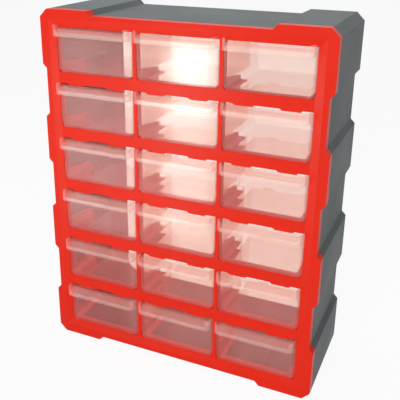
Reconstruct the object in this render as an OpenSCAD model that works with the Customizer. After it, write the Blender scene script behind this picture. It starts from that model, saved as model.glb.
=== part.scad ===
// Parts cabinet: a moulded front frame snapped into an open-backed housing,
// with three columns and six rows of clear drawers that slide out to the front.
//
// Frame of the part: X to the right, Y from front to back, Z up. The origin is
// under the middle of the cabinet, on the surface that it stands on.
// Inside the modules depth is counted from the face of the front frame, and
// placed() moves a finished piece to where it belongs.

/* [Drawer openings] */
// Width of one drawer opening
opening_w = 108.5; // [80:0.5:160]
// Clear height of one opening, from the sill to the lugs above it
opening_h = 58; // [44:0.5:90]
// Width of the upright bars between the columns
divider_w = 5; // [4:0.5:12]
// Height of the bars between the rows, lugs included
rail_h = 16.5; // [14:0.5:26]
// Width of the side bars, from the outline to the first opening
stile_w = 22.25; // [21:0.25:34]
// Height of the frame below the lowest opening
bottom_margin = 22.75; // [20:0.25:34]
// Height of the frame above the highest opening
top_margin = 21.75; // [20:0.25:34]
// Radius of the lower corners of an opening
opening_r = 4; // [2:0.5:6]

/* [Outline] */
// Height of the thick corner blocks on the sides
corner_h = 73.5; // [60:0.5:90]
// Length of the thick corner blocks on the top and bottom
corner_len = 71; // [55:0.5:85]
// Depth of the shallow steps on the sides
side_step = 5.5; // [3:0.5:7]
// Depth of the shallow steps on the top and bottom
top_step = 6; // [3:0.5:8]
// Size of the bevel across each corner of the outline
corner_bevel = 10; // [6:1:14]

/* [Front frame] */
// Depth of the skirt round the frame
skirt_depth = 13; // [10:0.5:18]
// Wall of the frame moulding
frame_wall = 2.5; // [2:0.1:3]
// Height of the border above the bars
border_step = 3; // [2:0.1:5]
// Width of the sloping inner part of the border
slope_w = 10; // [6:0.5:12]
// Depth of the bars from front to back
bar_depth = 12; // [10:0.5:16]
// Height of the bar field round the outermost openings
field_rim = 5; // [4:0.5:7]
// Width of a stop lug under a rail
lug_w = 22.5; // [16:0.5:24]
// Distance between the two stop lugs of an opening
lug_gap = 34; // [20:1:38]
// Depth of the notches beside the lugs
notch_depth = 2; // [1.5:0.1:3]

/* [Drawer runners] */
// How far the runners reach back behind the bars
runner_len = 50; // [30:1:70]
// Width of the ledge that a drawer slides on
ledge_w = 9; // [8:0.5:12]
// Thickness of the ledges
ledge_t = 2; // [1.5:0.1:3]
// Height of the side guide at its front end
guide_front_h = 12; // [8:0.5:20]
// Height of the side guide at its rear end
guide_rear_h = 5; // [3:0.5:8]
// How far the lowest and highest webs reach beyond their ledges
end_web = 6; // [4:0.5:7]

/* [Housing] */
// Depth of the cabinet from the face of the frame to the back
case_depth = 145; // [135:1:200]
// Wall of the housing
case_wall = 2.5; // [2:0.1:4]
// Width of the shadow gap between the frame and the housing
shadow_gap = 1.2; // [0.6:0.1:2]
// Depth of the shadow gap
shadow_depth = 1.2; // [0.6:0.1:1.8]
// Width of the upright sides of the rim round the open back
rim_side = 38.5; // [28:0.5:45]
// Height of the top and bottom of that rim
rim_end = 39.5; // [30:0.5:45]
// Radius of the corners of the open back
window_r = 15; // [6:1:20]
// Distance between the two screw holes for hanging
screw_spacing = 300; // [200:5:310]
// Diameter of the screw holes
screw_d = 5.5; // [4:0.1:6.5]
// Distance of the screw holes below the top of the cabinet
screw_drop = 19; // [16:0.5:22]

/* [Joint between frame and housing] */
// Gap between the tongue of the frame and the housing
tongue_clear = 0.3; // [0.2:0.05:0.6]
// How far the tongue reaches into the housing
tongue_depth = 8; // [7:0.5:12]
// Wall of the tongue
tongue_wall = 2; // [1.6:0.1:2.4]
// Height of the snap barbs
barb_h = 1; // [0.6:0.1:1.4]
// Length of the snap barbs along the edge
barb_len = 24; // [12:1:40]
// Width of the snap barbs from front to back
barb_depth = 3.5; // [2:0.5:4]
// Distance of the snap barbs from the end of the tongue
barb_inset = 2; // [1:0.5:3]

/* [Drawers] */
// Gap between a drawer front and its opening, at the sides
side_gap = 0.6; // [0.3:0.05:1]
// Gap between the top of a drawer front and the lugs
top_gap = 0.6; // [0.3:0.05:1]
// Gap between a drawer and the sill or ledge below it
slide_clear = 0.3; // [0.2:0.05:0.6]
// Thickness of the drawer front
plate_t = 2; // [1.5:0.1:3]
// Radius of the lower corners of the drawer front
plate_r = 6.5; // [6:0.5:10]
// Wall of the drawer behind its front
drawer_wall = 1.8; // [1.2:0.1:2.2]
// Gap between the tray and the side guides
tray_gap = 2.25; // [1:0.25:4]
// Height of the tray below the lugs
tray_drop = 2; // [1:0.5:8]
// Radius of the lower edges of the tray
tray_r = 8; // [4:0.5:9]
// Radius of the rear corners of the tray, seen from above
rear_r = 4; // [2.5:0.5:6]
// Travel of a drawer until its tabs meet the lugs
travel = 107; // [80:1:115]
// Gap between the tabs and the lugs at full travel
stop_clear = 0.5; // [0.3:0.1:2]
// How far a tab overlaps its lug
stop_overlap = 1.3; // [0.6:0.1:1.4]
// Width of a stop tab
stop_w = 15; // [8:0.5:16]
// Width of the upright ribs on the side walls
rib_w = 1.6; // [1:0.1:2]
// How far the ribs stand out from the side walls
rib_h = 1.2; // [0.8:0.1:2]
// Distance of the first rib behind the bars
rib_start = 31; // [20:0.5:40]
// Distance between the two ribs of a side wall
rib_pitch = 13; // [5:0.5:16]
// Height of the lower end of the ribs above the floor
rib_lift = 6; // [2:0.5:10]
// Radius of the gate mark in the floor
gate_r = 1.6; // [1:0.1:3]
// Height of the gate mark
gate_h = 0.4; // [0.2:0.1:1]

/* [Handles] */
// How far a handle stands out in front of the frame
handle_reach = 12; // [10:0.5:18]
// Wall of the handle
handle_wall = 1.8; // [1.4:0.1:2.2]
// Height of the lip at the front of the handle
handle_lip = 6.2; // [4:0.2:10]
// Fall of the top of the handle towards the front
handle_fall = 3.2; // [0:0.1:4]
// Radius of the front corners of the handle, seen from above
handle_r = 8; // [4:0.5:10]
// How far the ears at the ends of the handle stand above the drawer front
ear_rise = 4.2; // [3:0.1:4.8]
// Width of the ears, seen from the front
ear_w = 4; // [3:0.5:6]
// Gap between the ears and the slope of the border above the drawer
ear_gap = 0.4; // [0.3:0.1:1]

/* [Hidden] */
columns = 3;
rows = 6;

$fn = 48;
cut = 1;           // how far a cutting shape reaches past what it cuts
side_sections = 5; // steps and bumps between the corner blocks of a side

column_pitch = opening_w + divider_w;
row_pitch = opening_h + rail_h;
field_w = columns * opening_w + (columns - 1) * divider_w;
field_h = rows * opening_h + (rows - 1) * rail_h;
field_top = bottom_margin + field_h;
cabinet_w = field_w + 2 * stile_w;
cabinet_h = bottom_margin + field_h + top_margin;
cabinet_d = handle_reach + case_depth;
section_h = (cabinet_h - 2 * corner_h) / side_sections;
corner_x = cabinet_w / 2 - corner_len;

face_y = handle_reach - cabinet_d / 2;
border_floor = border_step + frame_wall;
bar_back = border_step + bar_depth;
runner_back = bar_back + runner_len;
housing_front = skirt_depth + shadow_gap;
tongue_outer = case_wall + tongue_clear;
tongue_inner = tongue_outer + tongue_wall;
tongue_back = housing_front + tongue_depth;
barb_back = tongue_back - barb_inset;
ceiling_z = opening_h + notch_depth; // underside of the ledges above a drawer
web_half = divider_w / 2;

plate_half = opening_w / 2 - side_gap;
plate_back = border_step + plate_t;
plate_top = opening_h - top_gap;
tray_half = opening_w / 2 - tray_gap;
tray_h = opening_h - tray_drop;
tab_front = bar_back + stop_clear + travel;
tray_back = tab_front + drawer_wall;
floor_top = slide_clear + drawer_wall;
rib_y = bar_back + rib_start;
lug_centre = (lug_gap + lug_w) / 2;
handle_low = plate_top - handle_fall - handle_lip; // lower edge of the lip

function drawer_name(row, column) = str("drawer_r", row, "c", column);
function column_x(column) = (column - (columns + 1) / 2) * column_pitch;
function sill_z(row) = bottom_margin + (rows - row) * row_pitch;
function reversed(points) = [for (i = [len(points) - 1:-1:0]) points[i]];
function mirrored(points, sx, sz) = [for (p = points) [sx * p[0], sz * p[1]]];

// Upper right quarter of the outline, from the side round to the top,
// about the middle of the front. Each 45 degree slope moves by shift
// when the outline is drawn smaller by inset.
function quarter(inset) =
    let (
        shift = inset * tan(22.5),
        side = cabinet_w / 2 - inset,
        top = cabinet_h / 2 - inset,
        low = section_h / 2,
        mid = low + section_h,
        high = mid + section_h,
        half = side_step / 2
    )
    [
        [side - side_step, low - half + shift],
        [side, low + half + shift],
        [side, mid - half - shift],
        [side - side_step, mid + half - shift],
        [side - side_step, high - half + shift],
        [side, high + half + shift],
        [side, cabinet_h / 2 - corner_bevel - shift],
        [cabinet_w / 2 - corner_bevel - shift, top],
        [corner_x + top_step / 2 + shift, top],
        [corner_x - top_step / 2 + shift, top - top_step],
    ];

module outline(inset) {
    run = quarter(inset);
    translate([0, cabinet_h / 2])
        polygon(concat(
            run,
            mirrored(reversed(run), -1, 1),
            mirrored(run, -1, -1),
            mirrored(reversed(run), 1, -1)
        ));
}

// Draws a front view shape, X and Z, as a plate from depth y0 to y1
module slab(y0, y1) {
    translate([0, y1, 0])
        rotate([90, 0, 0])
            linear_extrude(y1 - y0) children();
}

// Draws a side view shape, Y and Z, as a bar from x0 to x1
module bar(x0, x1) {
    translate([x0, 0, 0])
        rotate([90, 0, 90])
            linear_extrude(x1 - x0) children();
}

// A wall that follows the outline, between two insets
module ring(outer, inner, y0, y1) {
    slab(y0, y1) difference() {
        outline(outer);
        outline(inner);
    }
}

// A rectangle with four round corners
module rounded_rect(w, h, r) {
    translate([-w / 2 + r, 0]) square([w - 2 * r, h]);
    translate([-w / 2, r]) square([w, h - 2 * r]);
    for (sx = [-1, 1], z = [r, h - r]) translate([sx * (w / 2 - r), z]) circle(r);
}

// A rectangle from z0 to z1 whose two lower corners are round
module round_bottom(half, z0, z1, r) {
    translate([-half, z0 + r]) square([2 * half, z1 - z0 - r]);
    translate([r - half, z0]) square([2 * (half - r), 2 * r]);
    for (sx = [-1, 1]) translate([sx * (half - r), z0 + r]) circle(r);
}

module both_sides() {
    children();
    mirror([1, 0, 0]) children();
}

// Moves a piece from the front face and the bottom to its place in the part
module placed() {
    translate([0, face_y, 0]) children();
}

// Puts a drawer, or what belongs to one opening, at the middle of its sill
module at_opening(row, column) {
    translate([column_x(column), 0, sill_z(row)]) children();
}

// ---- front frame ----

// One notch beside a lug, with a 45 degree end where it meets the lug
module notch(x0, x1, slant0, slant1) {
    polygon([
        [x0, opening_h - cut],
        [x1, opening_h - cut],
        [x1, opening_h],
        [x1 - slant1, ceiling_z],
        [x0 + slant0, ceiling_z],
        [x0, opening_h],
    ]);
}

module opening_shape(notched) {
    lug_inner = lug_gap / 2;
    lug_outer = lug_inner + lug_w;
    round_bottom(opening_w / 2, 0, opening_h, opening_r);
    if (notched) {
        notch(-lug_inner, lug_inner, notch_depth, notch_depth);
        notch(lug_outer, opening_w / 2, notch_depth, 0);
        notch(-opening_w / 2, -lug_outer, 0, notch_depth);
    }
}

module opening_cuts() {
    for (row = [1:rows], column = [1:columns])
        at_opening(row, column) slab(-cut, bar_back + cut) opening_shape(row > 1);
}

// The hollow at the back of a rail, below the sill of an opening
module rail_pocket() {
    pocket_w = opening_w - 2 * (ledge_w + frame_wall);
    pocket_h = rail_h - notch_depth - 2 * frame_wall;
    translate([-pocket_w / 2, border_floor, -frame_wall - pocket_h])
        cube([pocket_w, bar_depth, pocket_h]);
}

module bar_field() {
    difference() {
        slab(border_step, bar_back)
            translate([-field_w / 2 - field_rim, bottom_margin - field_rim])
                square([field_w + 2 * field_rim, field_h + 2 * field_rim]);
        for (row = [1:rows - 1], column = [1:columns]) at_opening(row, column) rail_pocket();
    }
}

// The recess in front of the bars, with sloping sides
module recess() {
    far = slope_w * (border_step + cut) / border_step; // reach of the slope at y = -cut
    slab_w = field_w / 2;
    intersection() {
        linear_extrude(cabinet_h)
            polygon([
                [-slab_w - far, -cut],
                [slab_w + far, -cut],
                [slab_w, border_step],
                [-slab_w, border_step],
            ]);
        bar(-cabinet_w / 2, cabinet_w / 2)
            polygon([
                [-cut, bottom_margin - far],
                [border_step, bottom_margin],
                [border_step, field_top],
                [-cut, field_top + far],
            ]);
    }
}

module border() {
    reach = slope_w + frame_wall;
    difference() {
        union() {
            slab(0, frame_wall) outline(0);
            slab(0, border_floor) intersection() {
                outline(0);
                translate([-field_w / 2 - reach, bottom_margin - reach])
                    square([field_w + 2 * reach, field_h + 2 * reach]);
            }
        }
        recess();
    }
}

module snap_barb() {
    bar(-barb_len / 2, barb_len / 2)
        polygon([
            [barb_back - barb_depth, -tongue_wall / 2],
            [barb_back, -tongue_wall / 2],
            [barb_back, 0],
            [barb_back - barb_depth, barb_h],
        ]);
}

// Puts one child at each snap point, with its +Z pointing outwards,
// on the outline drawn smaller by inset
module snap_points(inset) {
    side = cabinet_w / 2 - side_step - inset;
    half_h = cabinet_h / 2 - top_step - inset;
    spread = corner_x / 2;
    translate([0, 0, cabinet_h / 2]) {
        for (k = [-1:1]) {
            translate([k * spread, 0, half_h]) children();
            translate([k * spread, 0, -half_h]) rotate([0, 180, 0]) children();
            translate([side, 0, 2 * k * section_h]) rotate([0, 90, 0]) children();
            translate([-side, 0, 2 * k * section_h]) rotate([0, -90, 0]) children();
        }
    }
}

// Side view of the web at the side of a drawer, from low up to the guide edge
module guide_profile(low) {
    polygon([
        [bar_back - cut, low],
        [runner_back, low],
        [runner_back, guide_rear_h],
        [bar_back, guide_front_h],
        [bar_back - cut, guide_front_h],
    ]);
}

// A short shelf at the right of an opening: a drawer slides on it or below it
module ledge(z) {
    translate([opening_w / 2 - ledge_w, bar_back - cut, z])
        cube([ledge_w + web_half, runner_len + cut, ledge_t]);
}

// Runners at both sides of one opening: guide web, ledge and hold-down ledge
module runner_pair(row) {
    low = row == rows ? -ledge_t - end_web : ceiling_z - row_pitch;
    both_sides() {
        ledge(-ledge_t);
        ledge(ceiling_z);
        bar(opening_w / 2, opening_w / 2 + web_half) guide_profile(low);
        if (row == 1) top_web();
    }
}

// The web that carries the highest hold-down ledges
module top_web() {
    translate([opening_w / 2, bar_back - cut, ceiling_z])
        cube([web_half, runner_len + cut, end_web]);
}

module front_frame() color("orangered") placed() {
    difference() {
        union() {
            border();
            bar_field();
        }
        opening_cuts();
    }
    ring(0, frame_wall, 0, skirt_depth);
    ring(shadow_depth, tongue_inner, skirt_depth - frame_wall, housing_front);
    ring(tongue_outer, tongue_inner, frame_wall - cut, tongue_back);
    snap_points(tongue_outer) snap_barb();
    for (row = [1:rows], column = [1:columns]) at_opening(row, column) runner_pair(row);
}

// ---- housing ----

module snap_pocket() {
    translate([
        -barb_len / 2 - tongue_clear,
        barb_back - barb_depth - tongue_clear,
        -cut
    ])
        cube([
            barb_len + 2 * tongue_clear,
            barb_depth + 2 * tongue_clear,
            cut + barb_h
        ]);
}

module housing() color("dimgray") placed() {
    rim_front = case_depth - case_wall;
    difference() {
        union() {
            ring(0, case_wall, housing_front, case_depth);
            slab(rim_front, case_depth) outline(0);
        }
        slab(rim_front - cut, case_depth + cut)
            translate([0, rim_end])
                rounded_rect(cabinet_w - 2 * rim_side, cabinet_h - 2 * rim_end, window_r);
        snap_points(case_wall) snap_pocket();
        for (sx = [-1, 1])
            translate([sx * screw_spacing / 2, rim_front - cut, cabinet_h - screw_drop])
                rotate([-90, 0, 0]) cylinder(d = screw_d, h = case_wall + 2 * cut);
    }
}

// ---- drawers ----

module plate() {
    slab(border_step, plate_back) round_bottom(plate_half, slide_clear, plate_top, plate_r);
}

// The tray drawn smaller by wall: round along the floor and at the rear
module tray_form(wall, y0, top) {
    half = tray_half - wall;
    y1 = tray_back - wall;
    r = rear_r - wall;
    intersection() {
        slab(y0, y1) round_bottom(half, slide_clear + wall, top, tray_r - wall);
        linear_extrude(top) {
            translate([-half, y0]) square([2 * half, y1 - y0 - r]);
            translate([r - half, y0]) square([2 * (half - r), y1 - y0]);
            for (sx = [-1, 1]) translate([sx * (half - r), y1 - r]) circle(r);
        }
    }
}

module tray() {
    difference() {
        tray_form(0, plate_back - plate_t / 2, tray_h);
        tray_form(drawer_wall, plate_back, tray_h + cut);
    }
}

module ribs() {
    inner = tray_half - drawer_wall;
    both_sides()
        for (y = [rib_y, rib_y + rib_pitch])
            translate([inner - rib_h, y, floor_top + rib_lift])
                cube([rib_h + drawer_wall / 2, rib_w, tray_h - floor_top - rib_lift]);
}

module stop_tabs() {
    for (sx = [-1, 1])
        translate([sx * lug_centre - stop_w / 2, tab_front, tray_h - cut])
            cube([stop_w, drawer_wall, opening_h + stop_overlap - tray_h + cut]);
}

// Outline of the handle seen from above, drawn smaller by wall
module handle_plan(wall, back) {
    half = plate_half - wall;
    front = wall - handle_reach;
    r = handle_r - wall;
    translate([-half, front + r]) square([2 * half, back - front - r]);
    translate([r - half, front]) square([2 * (half - r), back - front]);
    for (sx = [-1, 1]) translate([sx * (half - r), front + r]) circle(r);
}

// Side view of the handle: its top falls towards the lip
module handle_profile(low, drop) {
    slope = handle_fall / (handle_reach + border_step);
    front = -handle_reach - cut;
    polygon([
        [front, low],
        [plate_back, low],
        [plate_back, plate_top - drop],
        [border_step, plate_top - drop],
        [front, plate_top - drop - handle_fall - slope * cut],
    ]);
}

module handle_form(wall, low, back) {
    intersection() {
        linear_extrude(plate_top) handle_plan(wall, back);
        bar(-opening_w / 2, opening_w / 2) handle_profile(low, wall);
    }
}

module handle() {
    difference() {
        handle_form(0, handle_low, plate_back);
        handle_form(handle_wall, handle_low - cut, border_step);
    }
}

// Side view of an ear: its top falls from the round corner back to the bars
module ear_profile() {
    top = plate_top + ear_rise;
    polygon([
        [-handle_reach - cut, handle_low],
        [border_step, handle_low],
        [border_step, plate_top],
        [border_step * (1 - notch_depth / slope_w) - ear_gap, opening_h + notch_depth],
        [handle_r - handle_reach, top],
        [-handle_reach - cut, top],
    ]);
}

// The ears stand on the ends of the handle and turn round its front corners
module ears() {
    intersection() {
        difference() {
            linear_extrude(opening_h + rail_h) handle_plan(0, border_step);
            translate([0, 0, -cut])
                linear_extrude(opening_h + rail_h + 2 * cut)
                    handle_plan(handle_wall, border_step + cut);
        }
        both_sides() bar(plate_half - ear_w, opening_w / 2) ear_profile();
    }
}

module gate_mark() {
    translate([0, (plate_back + tab_front) / 2, slide_clear + drawer_wall / 2])
        cylinder(r = gate_r, h = drawer_wall / 2 + gate_h);
}

module drawer(row, column) color([0.95, 0.82, 0.78, 0.6]) placed() at_opening(row, column) {
    plate();
    tray();
    ribs();
    stop_tabs();
    handle();
    ears();
    gate_mark();
}

housing();
front_frame();
for (row = [1:rows], column = [1:columns])
    drawer(row, column);
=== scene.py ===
import math
import bpy
from mathutils import Matrix, Vector


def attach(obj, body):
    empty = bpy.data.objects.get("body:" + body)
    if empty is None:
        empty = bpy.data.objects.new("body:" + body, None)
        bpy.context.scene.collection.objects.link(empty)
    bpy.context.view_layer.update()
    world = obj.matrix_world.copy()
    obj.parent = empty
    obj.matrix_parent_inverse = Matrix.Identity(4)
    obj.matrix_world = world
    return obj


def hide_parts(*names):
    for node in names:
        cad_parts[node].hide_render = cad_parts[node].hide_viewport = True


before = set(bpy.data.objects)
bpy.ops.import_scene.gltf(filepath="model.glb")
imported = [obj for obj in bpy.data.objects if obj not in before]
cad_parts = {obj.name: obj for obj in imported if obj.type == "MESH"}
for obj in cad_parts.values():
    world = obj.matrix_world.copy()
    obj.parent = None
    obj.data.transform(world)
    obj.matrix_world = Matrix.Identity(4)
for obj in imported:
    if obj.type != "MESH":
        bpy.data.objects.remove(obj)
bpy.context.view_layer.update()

print("frame loaded:", len(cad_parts), "nodes")

faceY = -0.0665  # the face of the front frame; drawers are modelled from it and moved there

slack = {"same": 1e-5, "weld": 1e-6, "join": 1e-5}  # places that count as equal, and merge distances
sharpAngle = {"soften": 40, "shade": 35}


def deselectAll():
    if bpy.context.object and bpy.context.object.mode != "OBJECT":
        bpy.ops.object.mode_set(mode="OBJECT")
    bpy.ops.object.select_all(action="DESELECT")


def makeActive(piece):
    deselectAll()
    piece.select_set(True)
    bpy.context.view_layer.objects.active = piece


def applyPlace(piece):
    makeActive(piece)
    bpy.ops.object.transform_apply(location=True, rotation=True, scale=True)


def addBlock(name, low, high):
    deselectAll()
    middle = [(a + b) / 2 for a, b in zip(low, high)]
    bpy.ops.mesh.primitive_cube_add(size=1, location=middle)
    piece = bpy.context.object
    piece.name = name
    piece.scale = [b - a for a, b in zip(low, high)]
    applyPlace(piece)
    return piece


def addSheet(name, low, high):
    # a flat rectangle that stands across Y
    deselectAll()
    middle = [(a + b) / 2 for a, b in zip(low, high)]
    bpy.ops.mesh.primitive_plane_add(size=1, location=middle, rotation=(math.pi / 2, 0, 0))
    piece = bpy.context.object
    piece.name = name
    piece.scale = (high[0] - low[0], high[2] - low[2], 1)
    applyPlace(piece)
    return piece


def pick(piece, kind, test):
    # opens edit mode with the vertices, edges or faces that pass the test
    makeActive(piece)
    bpy.ops.object.mode_set(mode="EDIT")
    bpy.ops.mesh.select_mode(type=kind)
    bpy.ops.mesh.select_all(action="DESELECT")
    bpy.ops.object.mode_set(mode="OBJECT")
    mesh = piece.data
    if kind == "VERT":
        for vertex in mesh.vertices:
            vertex.select = test(vertex.co)
    elif kind == "EDGE":
        for edge in mesh.edges:
            ends = [mesh.vertices[i].co for i in edge.vertices]
            edge.select = test(*ends)
    else:
        for face in mesh.polygons:
            face.select = test(face.center, face.normal)
    bpy.ops.object.mode_set(mode="EDIT")


def done():
    bpy.ops.object.mode_set(mode="OBJECT")


def roundCorners(piece, test, radius, steps):
    pick(piece, "VERT", test)
    bpy.ops.mesh.bevel(offset=radius, segments=steps, affect="VERTICES")
    done()


def pull(piece, test, way):
    pick(piece, "FACE", test)
    bpy.ops.mesh.extrude_region_move(TRANSFORM_OT_translate={"value": way})
    done()


def turnOut(piece):
    pick(piece, "FACE", lambda centre, normal: True)
    bpy.ops.mesh.remove_doubles(threshold=slack["weld"])
    bpy.ops.mesh.normals_make_consistent(inside=False)
    done()


def finishWith(piece, kind, **settings):
    makeActive(piece)
    modifier = piece.modifiers.new(kind.title(), kind)
    for key, value in settings.items():
        setattr(modifier, key, value)
    bpy.ops.object.modifier_apply(modifier=modifier.name)


def softenEdges(piece, width, steps=2):
    finishWith(piece, "BEVEL", width=width, segments=steps, limit_method="ANGLE",
               angle_limit=math.radians(sharpAngle["soften"]))


def combine(piece, others, way="UNION"):
    for other in others:
        finishWith(piece, "BOOLEAN", operation=way, solver="MANIFOLD", object=other)
        bpy.data.objects.remove(other)
    pick(piece, "VERT", lambda v: True)
    bpy.ops.mesh.remove_doubles(threshold=slack["join"])
    done()


def near(a, b):
    return abs(a - b) < slack["same"]


cameraSet = {
    "place": (0.3246, -0.7621, 0.5806),
    "azimuth": 24.58, "elevation": 20.07, "roll": 0.21,
    "sensor": 36, "lens": 59.18, "shiftX": 0.0502, "shiftY": -0.10, "nearest": 0.05, "farthest": 20,
}


def makeCamera():
    deselectAll()
    s = cameraSet
    bpy.ops.object.camera_add(location=s["place"])
    camera = bpy.context.object
    camera.rotation_mode = "QUATERNION"
    turn = (Matrix.Rotation(math.radians(s["azimuth"]), 3, "Z")
            @ Matrix.Rotation(math.radians(90 - s["elevation"]), 3, "X")
            @ Matrix.Rotation(math.radians(s["roll"]), 3, "Z"))
    camera.rotation_quaternion = turn.to_quaternion()
    camera.data.sensor_width = s["sensor"]
    camera.data.lens = s["lens"]
    camera.data.shift_x = s["shiftX"]
    camera.data.shift_y = s["shiftY"]
    camera.data.clip_start, camera.data.clip_end = s["nearest"], s["farthest"]
    bpy.context.scene.camera = camera


lampSet = {
    # place, aims at, width, height, watts, colour, also lights matt surfaces
    "keyLamp": ((0.1, -2.1, 1.2), (0, 0, 0.25), 0.8, 0.8, 31, (1, 0.985, 0.96), True),
    "topLamp": ((-0.2, 0.1, 1.9), (0, 0, 0.2), 1.2, 1.2, 9, (0.98, 0.99, 1), True),
    "sheenLamp": ((-0.133, -0.38, 0.2), (-0.133, 0, 0.2), 0.09, 0.36, 0.5, (1, 0.98, 0.9), False),
    "glintLamp": ((-0.12, -0.381, 0.32), (-0.12, 0, 0.32), 0.07, 0.12, 0.3, (1, 0.98, 0.9), False),
    "leftLamp": ((-0.31, -0.38, 0.17), (-0.31, 0, 0.17), 0.2, 0.42, 0.6, (1, 1, 1), False),
}


def makeLamps():
    for name, (place, target, width, height, watts, colour, matt) in lampSet.items():
        deselectAll()
        bpy.ops.object.light_add(type="AREA", location=place)
        lamp = bpy.context.object
        lamp.name = name
        lamp.rotation_mode = "QUATERNION"
        way = Vector(target) - Vector(place)
        lamp.rotation_quaternion = way.to_track_quat("-Z", "Y")
        lamp.data.shape = "RECTANGLE"
        lamp.data.size = width
        lamp.data.size_y = height
        lamp.data.energy = watts
        lamp.data.color = colour
        lamp.visible_camera = False
        lamp.visible_diffuse = matt


studioSet = {
    "ambient": 0.2, "backdrop": 1.0,
    "floorSize": 12, "floorShade": 0.9, "floorRoughness": 0.9,
    "floorGlow": 0.93,  # keeps the floor white to the camera and leaves room for the shadow
}


def addSeenRays(nodes, links):
    # 1 where the camera sees the surface, straight, in gloss or through glass
    path = nodes.new("ShaderNodeLightPath")
    seen = nodes.new("ShaderNodeMath")
    seen.operation = "MAXIMUM"
    alsoGloss = nodes.new("ShaderNodeMath")
    alsoGloss.operation = "MAXIMUM"
    links.new(path.outputs["Is Camera Ray"], seen.inputs[0])
    links.new(path.outputs["Is Transmission Ray"], seen.inputs[1])
    links.new(seen.outputs[0], alsoGloss.inputs[0])
    links.new(path.outputs["Is Glossy Ray"], alsoGloss.inputs[1])
    return alsoGloss.outputs[0]


def makeWorld():
    world = bpy.data.worlds.new("studio")
    bpy.context.scene.world = world
    world.use_nodes = True
    nodes, links = world.node_tree.nodes, world.node_tree.links
    nodes.clear()
    output = nodes.new("ShaderNodeOutputWorld")
    mix = nodes.new("ShaderNodeMixShader")
    links.new(addSeenRays(nodes, links), mix.inputs[0])
    for socket, strength in ((1, studioSet["ambient"]), (2, studioSet["backdrop"])):
        sky = nodes.new("ShaderNodeBackground")
        sky.inputs["Color"].default_value = (1, 1, 1, 1)
        sky.inputs["Strength"].default_value = strength
        links.new(sky.outputs[0], mix.inputs[socket])
    links.new(mix.outputs[0], output.inputs["Surface"])


def makeFloor():
    deselectAll()
    bpy.ops.mesh.primitive_plane_add(size=studioSet["floorSize"], location=(0, 0, 0))
    floor = bpy.context.object
    floor.name = "floor"
    finish = bpy.data.materials.new("paleFloor")
    finish.use_nodes = True
    nodes, links = finish.node_tree.nodes, finish.node_tree.links
    shader = nodes["Principled BSDF"]
    shade = studioSet["floorShade"]
    shader.inputs["Base Color"].default_value = (shade, shade, shade, 1)
    shader.inputs["Roughness"].default_value = studioSet["floorRoughness"]
    shader.inputs["Specular IOR Level"].default_value = 0
    glow = nodes.new("ShaderNodeEmission")
    share = nodes.new("ShaderNodeMath")
    share.operation = "MULTIPLY"
    share.inputs[1].default_value = studioSet["floorGlow"]
    links.new(addSeenRays(nodes, links), share.inputs[0])
    mix = nodes.new("ShaderNodeMixShader")
    links.new(share.outputs[0], mix.inputs[0])
    links.new(shader.outputs[0], mix.inputs[1])
    links.new(glow.outputs[0], mix.inputs[2])
    links.new(mix.outputs[0], nodes["Material Output"].inputs["Surface"])
    floor.data.materials.append(finish)


def newGroup(name, inputs, outputs):
    group = bpy.data.node_groups.new(name, "ShaderNodeTree")
    for label, kind, value in inputs:
        socket = group.interface.new_socket(label, in_out="INPUT", socket_type=kind)
        socket.default_value = value
    for label, kind in outputs:
        group.interface.new_socket(label, in_out="OUTPUT", socket_type=kind)
    entry = group.nodes.new("NodeGroupInput")
    leave = group.nodes.new("NodeGroupOutput")
    return group, entry, leave


noiseSpan = (0.3, 0.7)  # where most values of a noise lie
grainPattern = {"cloudDetail": 3, "grainDetail": 2}


def makeMouldedGrain():
    # fine moulded texture: a slow cloudiness of the colour, a varied gloss and a fine height
    group, entry, leave = newGroup(
        "mouldedGrain",
        [("Color", "NodeSocketColor", (1, 1, 1, 1)), ("Cloud", "NodeSocketFloat", 0.1),
         ("Cloud Scale", "NodeSocketFloat", 14), ("Grain Scale", "NodeSocketFloat", 900),
         ("Gloss", "NodeSocketFloat", 0.4), ("Gloss Range", "NodeSocketFloat", 0.1)],
        [("Color", "NodeSocketColor"), ("Roughness", "NodeSocketFloat"), ("Height", "NodeSocketFloat")])
    nodes, links = group.nodes, group.links
    place = nodes.new("ShaderNodeTexCoord")
    cloud = nodes.new("ShaderNodeTexNoise")
    cloud.inputs["Detail"].default_value = grainPattern["cloudDetail"]
    grain = nodes.new("ShaderNodeTexNoise")
    grain.inputs["Detail"].default_value = grainPattern["grainDetail"]
    links.new(place.outputs["Object"], cloud.inputs["Vector"])
    links.new(place.outputs["Object"], grain.inputs["Vector"])
    links.new(entry.outputs["Cloud Scale"], cloud.inputs["Scale"])
    links.new(entry.outputs["Grain Scale"], grain.inputs["Scale"])
    shift = nodes.new("ShaderNodeMapRange")  # the cloud as a lightness round one
    shift.inputs["From Min"].default_value, shift.inputs["From Max"].default_value = noiseSpan
    shift.inputs["To Min"].default_value = -1
    shift.inputs["To Max"].default_value = 1
    links.new(cloud.outputs["Fac"], shift.inputs["Value"])
    amount = nodes.new("ShaderNodeMath")
    amount.operation = "MULTIPLY_ADD"
    amount.inputs[2].default_value = 1
    links.new(shift.outputs[0], amount.inputs[0])
    links.new(entry.outputs["Cloud"], amount.inputs[1])
    tint = nodes.new("ShaderNodeVectorMath")
    tint.operation = "SCALE"
    links.new(entry.outputs["Color"], tint.inputs[0])
    links.new(amount.outputs[0], tint.inputs["Scale"])
    gloss = nodes.new("ShaderNodeMath")
    gloss.operation = "MULTIPLY_ADD"
    links.new(shift.outputs[0], gloss.inputs[0])
    links.new(entry.outputs["Gloss Range"], gloss.inputs[1])
    links.new(entry.outputs["Gloss"], gloss.inputs[2])
    links.new(tint.outputs[0], leave.inputs["Color"])
    links.new(gloss.outputs[0], leave.inputs["Roughness"])
    links.new(grain.outputs["Fac"], leave.inputs["Height"])
    return group


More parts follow.
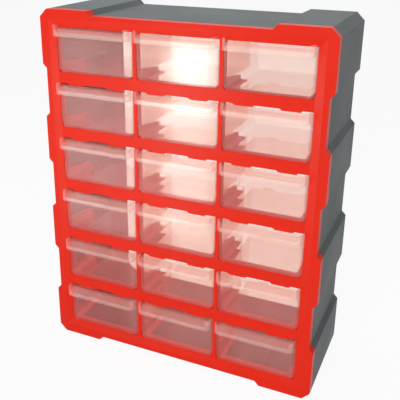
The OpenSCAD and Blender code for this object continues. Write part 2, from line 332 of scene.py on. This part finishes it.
def plasticFinish(name, grainGroup, look):
    finish = bpy.data.materials.new(name)
    finish.use_nodes = True
    nodes, links = finish.node_tree.nodes, finish.node_tree.links
    shader = nodes["Principled BSDF"]
    grain = nodes.new("ShaderNodeGroup")
    grain.node_tree = grainGroup
    grain.inputs["Color"].default_value = (*look["colour"], 1)
    for socket, key in (("Cloud", "cloud"), ("Cloud Scale", "cloudScale"), ("Grain Scale", "grainScale"),
                        ("Gloss", "gloss"), ("Gloss Range", "glossRange")):
        grain.inputs[socket].default_value = look[key]
    bump = nodes.new("ShaderNodeBump")
    bump.inputs["Strength"].default_value = look["bump"]
    bump.inputs["Distance"].default_value = look["bumpDepth"]
    links.new(grain.outputs["Color"], shader.inputs["Base Color"])
    links.new(grain.outputs["Roughness"], shader.inputs["Roughness"])
    links.new(grain.outputs["Height"], bump.inputs["Height"])
    links.new(bump.outputs["Normal"], shader.inputs["Normal"])
    shader.inputs["Specular IOR Level"].default_value = look["shine"]
    return finish


frameLook = {
    "colour": (0.8, 0.026, 0.01), "cloud": 0.03, "cloudScale": 9, "grainScale": 1500,
    "gloss": 0.36, "glossRange": 0.05, "bump": 0.12, "bumpDepth": 0.0002, "shine": 0.1,
}
housingLook = {
    "colour": (0.122, 0.138, 0.142), "cloud": 0.06, "cloudScale": 11, "grainScale": 1100,
    "gloss": 0.5, "glossRange": 0.06, "bump": 0.35, "bumpDepth": 0.0003, "shine": 0.12,
}
drawerLook = {
    "colour": (1.0, 0.24, 0.23), "haze": 0.2, "cloud": 0.12, "gloss": 0.14,
    # the handle's whiter colour is partly painted highlight, for the light falling on the handle top
    "handleHazeAndHighlightColour": (1.0, 0.72, 0.68), "wornHaze": 0.085, "wornGloss": 0.2,
    "handleFrom": faceY + 0.004, "handleTo": faceY - 0.001,
    "edgeHaze": 0.83, "edgeSharpness": 3, "bodyShare": 0.6, "tint": (1.0, 0.985, 0.925),
    "bend": 2.6,  # higher than real plastic, because the haze also thins the reflection
    # glow and its level: painted glow, a faint emission that brightens the haze of the drawers
    "glow": (1.0, 0.2, 0.19), "paintedGlowLevel": 0.1,
}
wearPattern = {
    "streakStretch": (0.12, 1, 1), "streakScale": 700, "streakDetail": 3, "streakDepth": 0.3,
    "cloudScale": 28, "cloudDetail": 4,
}


def makeClearHazeAndHighlight():
    # haze of the clear plastic: cloudy in places, and hazier on the handle in fine streaks; the handle
    # colour turns whiter, partly its own paler haze and partly painted highlight for the light on its top
    group, entry, leave = newGroup(
        "clearHazeAndHighlight",
        [("Color", "NodeSocketColor", (1, 1, 1, 1)), ("Handle Haze And Highlight Color", "NodeSocketColor", (1, 1, 1, 1)),
         ("Haze", "NodeSocketFloat", 0.1), ("Worn Haze", "NodeSocketFloat", 0.1),
         ("Cloud", "NodeSocketFloat", 0.1), ("Gloss", "NodeSocketFloat", 0.1),
         ("Worn Gloss", "NodeSocketFloat", 0.1), ("Handle From", "NodeSocketFloat", 0),
         ("Handle To", "NodeSocketFloat", 1)],
        [("Color", "NodeSocketColor"), ("Haze", "NodeSocketFloat"), ("Roughness", "NodeSocketFloat")])
    nodes, links = group.nodes, group.links
    place = nodes.new("ShaderNodeTexCoord")
    split = nodes.new("ShaderNodeSeparateXYZ")
    links.new(place.outputs["Object"], split.inputs[0])
    handled = nodes.new("ShaderNodeMapRange")
    handled.interpolation_type = "SMOOTHSTEP"
    links.new(split.outputs["Y"], handled.inputs["Value"])
    links.new(entry.outputs["Handle From"], handled.inputs["From Min"])
    links.new(entry.outputs["Handle To"], handled.inputs["From Max"])
    stretch = nodes.new("ShaderNodeMapping")
    stretch.inputs["Scale"].default_value = wearPattern["streakStretch"]
    links.new(place.outputs["Object"], stretch.inputs["Vector"])
    streaks = nodes.new("ShaderNodeTexNoise")
    streaks.inputs["Scale"].default_value = wearPattern["streakScale"]
    streaks.inputs["Detail"].default_value = wearPattern["streakDetail"]
    links.new(stretch.outputs[0], streaks.inputs["Vector"])
    clouds = nodes.new("ShaderNodeTexNoise")
    clouds.inputs["Scale"].default_value = wearPattern["cloudScale"]
    clouds.inputs["Detail"].default_value = wearPattern["cloudDetail"]
    links.new(place.outputs["Object"], clouds.inputs["Vector"])

    def scaled(source, low, high):
        part = nodes.new("ShaderNodeMapRange")
        part.inputs["From Min"].default_value, part.inputs["From Max"].default_value = noiseSpan
        part.inputs["To Min"].default_value = low
        part.inputs["To Max"].default_value = high
        links.new(source, part.inputs["Value"])
        return part.outputs[0]

    def sums(kind, *sources):
        node = nodes.new("ShaderNodeMath")
        node.operation = kind
        for socket, source in zip(node.inputs, sources):
            if isinstance(source, (int, float)):
                socket.default_value = source
            else:
                links.new(source, socket)
        return node.outputs[0]

    amount = sums("MULTIPLY_ADD", scaled(clouds.outputs["Fac"], -1, 1), entry.outputs["Cloud"], 1)
    depth = wearPattern["streakDepth"]
    rubbed = sums("MULTIPLY", handled.outputs[0], scaled(streaks.outputs["Fac"], 1 - depth, 1 + depth))
    haze = sums("MULTIPLY_ADD", rubbed, entry.outputs["Worn Haze"],
                sums("MULTIPLY", amount, entry.outputs["Haze"]))
    rough = sums("MULTIPLY_ADD", rubbed, entry.outputs["Worn Gloss"],
                 sums("MULTIPLY", amount, entry.outputs["Gloss"]))
    # the handle takes the whiter colour: partly painted highlight for the lit handle top
    tone = nodes.new("ShaderNodeMix")
    tone.data_type = "RGBA"
    links.new(handled.outputs[0], tone.inputs["Factor"])
    links.new(entry.outputs["Color"], tone.inputs["A"])
    links.new(entry.outputs["Handle Haze And Highlight Color"], tone.inputs["B"])
    links.new(tone.outputs["Result"], leave.inputs["Color"])
    links.new(haze, leave.inputs["Haze"])
    links.new(rough, leave.inputs["Roughness"])
    return group


def clearFinish(name, hazeAndHighlightGroup, look):
    # see-through plastic as a faint haze, thicker where it is seen edge on
    finish = bpy.data.materials.new(name)
    finish.use_nodes = True
    nodes, links = finish.node_tree.nodes, finish.node_tree.links
    shader = nodes["Principled BSDF"]
    hazeAndHighlight = nodes.new("ShaderNodeGroup")
    hazeAndHighlight.node_tree = hazeAndHighlightGroup
    hazeAndHighlight.inputs["Color"].default_value = (*look["colour"], 1)
    hazeAndHighlight.inputs["Handle Haze And Highlight Color"].default_value = (*look["handleHazeAndHighlightColour"], 1)
    for socket, key in (("Haze", "haze"), ("Worn Haze", "wornHaze"), ("Cloud", "cloud"), ("Gloss", "gloss"),
                        ("Worn Gloss", "wornGloss"), ("Handle From", "handleFrom"), ("Handle To", "handleTo")):
        hazeAndHighlight.inputs[socket].default_value = look[key]
    facing = nodes.new("ShaderNodeLayerWeight")
    sharp = nodes.new("ShaderNodeMath")
    sharp.operation = "POWER"
    sharp.inputs[1].default_value = look["edgeSharpness"]
    links.new(facing.outputs["Facing"], sharp.inputs[0])
    veil = nodes.new("ShaderNodeMix")
    veil.data_type = "FLOAT"
    veil.inputs["B"].default_value = look["edgeHaze"]
    links.new(sharp.outputs[0], veil.inputs["Factor"])
    links.new(hazeAndHighlight.outputs["Haze"], veil.inputs["A"])
    links.new(hazeAndHighlight.outputs["Color"], shader.inputs["Base Color"])
    links.new(hazeAndHighlight.outputs["Roughness"], shader.inputs["Roughness"])
    shader.inputs["IOR"].default_value = look["bend"]
    shader.inputs["Emission Color"].default_value = (*look["glow"], 1)  # painted glow: a faint emission that brightens the haze in place of light scattered inside the plastic
    shader.inputs["Emission Strength"].default_value = look["paintedGlowLevel"]
    links.new(veil.outputs["Result"], shader.inputs["Alpha"])
    through = nodes.new("ShaderNodeBsdfTransparent")  # warms what is seen through the plastic
    through.inputs["Color"].default_value = (*look["tint"], 1)
    mix = nodes.new("ShaderNodeMixShader")
    mix.inputs[0].default_value = look["bodyShare"]
    links.new(through.outputs[0], mix.inputs[1])
    links.new(shader.outputs[0], mix.inputs[2])
    links.new(mix.outputs[0], nodes["Material Output"].inputs["Surface"])
    return finish


mouldingEdges = {"weld": 1e-5, "flat": 0.5, "edge": 0.0006, "edgeSteps": 2, "edgeAngle": 25}


def dressNode(name, finish):
    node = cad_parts[name]
    node.data.materials.clear()
    node.data.materials.append(finish)
    s = mouldingEdges
    weld = node.modifiers.new("weld", "WELD")
    weld.merge_threshold = s["weld"]
    flat = node.modifiers.new("flat", "DECIMATE")
    flat.decimate_type = "DISSOLVE"
    flat.angle_limit = math.radians(s["flat"])
    edge = node.modifiers.new("edge", "BEVEL")
    edge.width = s["edge"]
    edge.segments = s["edgeSteps"]
    edge.limit_method = "ANGLE"
    edge.angle_limit = math.radians(s["edgeAngle"])
    edge.harden_normals = True


drawerSize = {
    "plateHalf": 0.05365, "plateFront": 0.003, "plateBack": 0.005, "low": 0.0003, "plateTop": 0.0574,
    "plateRound": 0.0065, "plateEdge": 0.0002, "cornerSteps": 10,
    "trayHalf": 0.052, "trayTop": 0.056, "trayBack": 0.1243, "trayRound": 0.008,
    "rearRound": 0.004, "rearSteps": 5, "wall": 0.0018, "trayLift": 0.0003, "trayEdge": 0.00025,
    "reach": 0.012, "lip": 0.0062, "fall": 0.0032, "handleRound": 0.008, "handleEdge": 0.0005,
    "handleEdgeSteps": 3, "handleInset": 0.00035,  # the handle stands inside the rounded rim of the plate
    "earInset": 0.0001, "earBack": 0.002, "earRear": 0.06, "earTop": 0.0616, "earRoot": 0.052,
    "earTurn": 60, "earSteps": 8, "earEdge": 0.0003,
    "ribY": 0.046, "ribPitch": 0.013, "ribWidth": 0.0016, "ribDepth": 0.0012, "ribLow": 0.0081,
    "ribTop": 0.0555, "ribRound": 0.0009, "ribSteps": 3,
    "tabX": 0.02825, "tabWidth": 0.015, "tabTop": 0.0593, "tabInset": 0.0004, "tabRound": 0.001,
    "tabSteps": 4, "gateRound": 0.0016, "gateHigh": 0.0004, "gateSides": 20,
}
cabinetGrid = {"columnPitch": 0.1135, "rowPitch": 0.0745, "lowestSill": 0.02275, "columns": 3, "rows": 6}


def makePlate():
    d = drawerSize
    plate = addSheet("plate", (-d["plateHalf"], d["plateBack"], d["low"]),
                     (d["plateHalf"], d["plateBack"], d["plateTop"]))
    roundCorners(plate, lambda v: near(v.z, d["low"]), d["plateRound"], d["cornerSteps"])
    pull(plate, lambda centre, normal: True, (0, d["plateFront"] - d["plateBack"], 0))
    turnOut(plate)
    softenEdges(plate, d["plateEdge"])
    return plate


def makeTrayForm(name, wall, front, top):
    # the tray as a solid, drawn smaller by wall
    d = drawerSize
    low, half = d["low"] + d["trayLift"] + wall, d["trayHalf"] - wall
    back, rearRound = d["trayBack"] - wall, d["rearRound"] - wall
    form = addSheet(name, (-half, front, low), (half, front, top))
    roundCorners(form, lambda v: near(v.z, low), d["trayRound"] - wall, d["cornerSteps"])
    last, width, steps = back - rearRound, half, d["rearSteps"]
    pull(form, lambda centre, normal: True, (0, last - front, 0))
    for step in range(steps):  # round rear corners: each short pull is made narrower
        angle = math.pi / 2 * (step + 1) / steps
        place = back - rearRound * (1 - math.sin(angle))
        narrow = half - rearRound * (1 - math.cos(angle))
        pick(form, "FACE", lambda centre, normal: near(centre.y, last))
        bpy.ops.mesh.extrude_region_move(TRANSFORM_OT_translate={"value": (0, place - last, 0)})
        bpy.ops.transform.resize(value=(narrow / width, 1, 1), center_override=(0, place, 0))
        done()
        last, width = place, narrow
    turnOut(form)
    return form


def makeTray():
    d = drawerSize
    start = (d["plateFront"] + d["plateBack"]) / 2
    tray = makeTrayForm("tray", 0, start, d["trayTop"])
    combine(tray, [makeTrayForm("hollow", d["wall"], start - d["wall"], d["trayTop"] + d["wall"])],
            "DIFFERENCE")
    softenEdges(tray, d["trayEdge"])
    return tray


def makeHandleForm(name, wall, low, back):
    # the handle as a solid, drawn smaller by wall: its top falls towards the front
    d = drawerSize
    half, top = d["plateHalf"] - d["handleInset"] - wall, d["plateTop"] - d["handleInset"] - wall
    front, crease = wall - d["reach"], d["plateFront"] + d["handleEdge"]
    fall = d["fall"] * (crease - front) / (crease + d["reach"])
    form = addBlock(name, (-half, front, low), (half, crease, top))
    pick(form, "EDGE", lambda a, b: all(near(v.y, front) and near(v.z, top) for v in (a, b)))
    bpy.ops.transform.translate(value=(0, 0, -fall))
    done()
    pick(form, "EDGE", lambda a, b: near(a.y, front) and near(b.y, front) and near(a.x, b.x))
    bpy.ops.mesh.bevel(offset=d["handleRound"] - wall, segments=d["cornerSteps"], affect="EDGES")
    done()
    pull(form, lambda centre, normal: near(centre.y, crease), (0, back - crease, 0))
    return form


def makeEar(side):
    # a fin rooted in the end wall of the handle: it runs forward and turns round the corner
    d = drawerSize
    outside = d["plateHalf"] - d["handleInset"]
    xs = sorted((side * (outside - d["earInset"]), side * (outside - d["wall"] + d["earInset"])))
    turnX, turnY = side * (outside - d["handleRound"]), d["handleRound"] - d["reach"]
    ear = addSheet("ear", (xs[0], d["earBack"], d["earRoot"]), (xs[1], d["earBack"], d["earRear"]))
    pull(ear, lambda centre, normal: True, (0, turnY - d["earBack"], 0))
    turnOut(ear)
    pick(ear, "EDGE", lambda a, b: all(near(v.y, turnY) and near(v.z, d["earRear"]) for v in (a, b)))
    bpy.ops.transform.translate(value=(0, 0, d["earTop"] - d["earRear"]))
    done()
    pick(ear, "FACE", lambda centre, normal: near(centre.y, turnY))
    step = side * math.radians(d["earTurn"] / d["earSteps"])
    for count in range(d["earSteps"]):
        bpy.ops.mesh.extrude_region_move(TRANSFORM_OT_translate={"value": (0, 0, 0)})
        bpy.ops.transform.rotate(value=step, orient_axis="Z", center_override=(turnX, turnY, 0))
    done()
    turnOut(ear)
    softenEdges(ear, d["earEdge"])
    return ear


def makeHandle():
    d = drawerSize
    low = d["plateTop"] - d["fall"] - d["lip"]
    handle = makeHandleForm("handle", 0, low, d["plateBack"] - d["handleEdge"])
    hollow = makeHandleForm("hollow", d["wall"], low - d["wall"], d["plateFront"] + 2 * d["handleEdge"])
    combine(handle, [hollow], "DIFFERENCE")
    softenEdges(handle, d["handleEdge"], d["handleEdgeSteps"])
    combine(handle, [makeEar(-1), makeEar(1)])
    return handle


def makeRibs():
    d = drawerSize
    ribs = []
    inner = d["trayHalf"] - d["wall"]
    for side in (-1, 1):
        for y in (d["ribY"], d["ribY"] + d["ribPitch"]):
            xs = sorted((side * (inner - d["ribDepth"]), side * (inner + d["wall"] / 2)))
            rib = addBlock("rib", (xs[0], y, d["ribLow"]), (xs[1], y + d["ribWidth"], d["ribTop"]))
            pick(rib, "EDGE", lambda a, b: near(a.z, d["ribLow"]) and near(b.z, d["ribLow"])
                 and near(a.x, b.x) and abs(a.x) < inner)
            bpy.ops.mesh.bevel(offset=d["ribRound"], segments=d["ribSteps"], affect="EDGES")
            done()
            ribs.append(rib)
    return ribs


def makeTabs():
    d = drawerSize
    tabs = []
    for side in (-1, 1):
        middle = side * d["tabX"]
        tab = addBlock("tab", (middle - d["tabWidth"] / 2, d["trayBack"] - d["wall"] + d["tabInset"],
                               d["trayTop"] - d["wall"] / 2),
                       (middle + d["tabWidth"] / 2, d["trayBack"] - d["tabInset"], d["tabTop"]))
        pick(tab, "EDGE", lambda a, b: near(a.z, d["tabTop"]) and near(b.z, d["tabTop"]) and near(a.x, b.x))
        bpy.ops.mesh.bevel(offset=d["tabRound"], segments=d["tabSteps"], affect="EDGES")
        done()
        tabs.append(tab)
    return tabs


def makeGateMark():
    d = drawerSize
    deselectAll()
    y = (d["plateBack"] + d["trayBack"] - d["wall"]) / 2
    floorTop = d["low"] + d["trayLift"] + d["wall"]
    low, high = floorTop - d["wall"] / 2, floorTop + d["gateHigh"]
    bpy.ops.mesh.primitive_cylinder_add(vertices=d["gateSides"], radius=d["gateRound"],
                                        depth=high - low, location=(0, y, (low + high) / 2))
    mark = bpy.context.object
    applyPlace(mark)
    pick(mark, "FACE", lambda centre, normal: normal.z > 0.9)
    bpy.ops.mesh.inset(thickness=d["gateRound"] / 3, depth=-d["gateHigh"] / 2)
    done()
    return mark


def makeDrawer(finish):
    drawer = makePlate()
    combine(drawer, [makeTray(), makeHandle()])
    combine(drawer, makeRibs() + makeTabs() + [makeGateMark()])
    makeActive(drawer)
    bpy.ops.object.shade_smooth_by_angle(angle=math.radians(sharpAngle["shade"]))
    finishWith(drawer, "WEIGHTED_NORMAL", keep_sharp=True)
    drawer.data.materials.clear()
    drawer.data.materials.append(finish)
    return drawer


def placeDrawers(master):
    g = cabinetGrid
    for row in range(1, g["rows"] + 1):
        for column in range(1, g["columns"] + 1):
            makeActive(master)
            bpy.ops.object.duplicate(linked=False)
            drawer = bpy.context.object
            node = f"drawer_r{row}c{column}"
            drawer.name = f"clear_{node}"
            drawer.location = ((column - (g["columns"] + 1) / 2) * g["columnPitch"], faceY,
                               g["lowestSill"] + (g["rows"] - row) * g["rowPitch"])
            applyPlace(drawer)
            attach(drawer, node)
            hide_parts(node)
    bpy.data.objects.remove(master)


makeCamera()
makeLamps()
makeWorld()
makeFloor()
print("camera, lamps and floor made")

grainGroup = makeMouldedGrain()
dressNode("housing", plasticFinish("slateMoulding", grainGroup, housingLook))
dressNode("front_frame", plasticFinish("redMoulding", grainGroup, frameLook))
print("mouldings dressed")

placeDrawers(makeDrawer(clearFinish("clearDrawer", makeClearHazeAndHighlight(), drawerLook)))
print("drawers placed")

scene = bpy.context.scene
scene.view_settings.view_transform = "Standard"
scene.cycles.transparent_max_bounces = 32  # a view passes many clear walls, one behind the other

print("finished")
